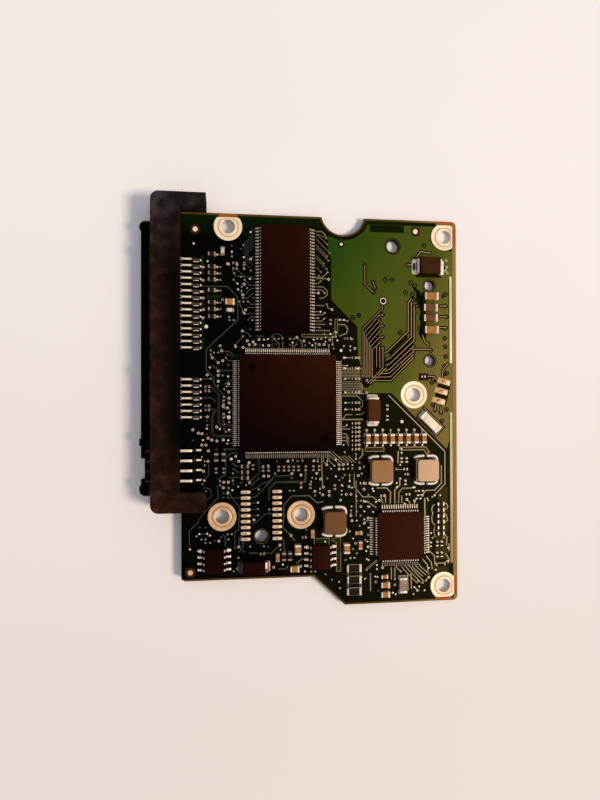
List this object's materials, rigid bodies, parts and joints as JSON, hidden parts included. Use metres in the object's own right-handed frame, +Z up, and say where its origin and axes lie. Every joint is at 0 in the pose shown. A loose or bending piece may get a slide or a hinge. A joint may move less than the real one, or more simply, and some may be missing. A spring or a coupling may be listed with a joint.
{
  "type": "hard drive circuit board",
  "caption": "Flat hard drive controller board, component side up, with an edge plug and jumper block, moulded chips, inductors, chip parts, contact pads and screw holes.",
  "frame": {"origin": "centre of the datum screw hole, on the board's underside", "axes": "+X away from the drive plug, +Y along the plug, +Z up out of the component side"},
  "size_m": [0.0658, 0.0833, 0.0066],
  "materials": {
    "solder_mask": "dark green solder mask over glass-fibre laminate",
    "bare_plating": "pale bare plating",
    "connector_plastic": "black moulded plastic",
    "contact_metal": "plated spring strip",
    "package_resin": "dark brown-black moulding compound",
    "lead_metal": "tinned lead frame",
    "ferrite": "tan ground ferrite",
    "winding_copper": "enamelled copper wire",
    "diode_resin": "brown moulding compound",
    "sensor_ceramic": "cream ceramic",
    "bead_ceramic": "grey ferrite ceramic",
    "capacitor_ceramic": "tan ceramic with tinned ends",
    "resistor_ceramic": "dark glazed film on ceramic with tinned ends"
  },
  "bodies": {
    "root": {"bare_board": "solder_mask", "bulk_capacitor_1": "capacitor_ceramic", "bulk_capacitor_2": "capacitor_ceramic", "bulk_capacitor_3": "capacitor_ceramic", "bulk_capacitor_4": "capacitor_ceramic", "bypass_capacitors": "capacitor_ceramic", "connector_housing": "connector_plastic", "controller_leads": "lead_metal", "controller_package": "package_resin", "driver_leads": "lead_metal", "driver_package": "package_resin", "edge_ground_strips": "bare_plating", "ferrite_bead_body": "bead_ceramic", "ferrite_bead_end_caps": "lead_metal", "filter_capacitors": "capacitor_ceramic", "flash_leads": "lead_metal", "flash_package": "package_resin", "flyback_diode_body": "diode_resin", "flyback_diode_strips": "lead_metal", "head_contact_pads": "bare_plating", "inductor_1_core": "ferrite", "inductor_1_terminals": "lead_metal", "inductor_1_winding": "winding_copper", "inductor_2_core": "ferrite", "inductor_2_terminals": "lead_metal", "inductor_2_winding": "winding_copper", "inductor_3_core": "ferrite", "inductor_3_terminals": "lead_metal", "inductor_3_winding": "winding_copper", "input_diode_body": "diode_resin", "input_diode_strips": "lead_metal", "jumper_block_pins": "contact_metal", "line_chips": "capacitor_ceramic", "memory_leads": "lead_metal", "memory_package": "package_resin", "motor_contact_pads": "bare_plating", "output_capacitor_1": "capacitor_ceramic", "output_capacitor_2": "capacitor_ceramic", "output_capacitor_3": "capacitor_ceramic", "output_capacitor_4": "capacitor_ceramic", "output_capacitor_5": "capacitor_ceramic", "output_capacitor_6": "capacitor_ceramic", "output_capacitor_7": "capacitor_ceramic", "output_capacitor_8": "capacitor_ceramic", "power_contact_blades": "contact_metal", "screw_lands": "bare_plating", "sense_resistor_1": "resistor_ceramic", "sense_resistor_2": "resistor_ceramic", "sense_resistor_3": "resistor_ceramic", "shock_sensor_body": "sensor_ceramic", "shock_sensor_end_caps": "lead_metal", "signal_contact_blades": "contact_metal", "surge_diode_body": "diode_resin", "surge_diode_strips": "lead_metal", "switch_leads": "lead_metal", "switch_package": "package_resin", "termination_resistors": "resistor_ceramic"}
  },
  "joints": []
}
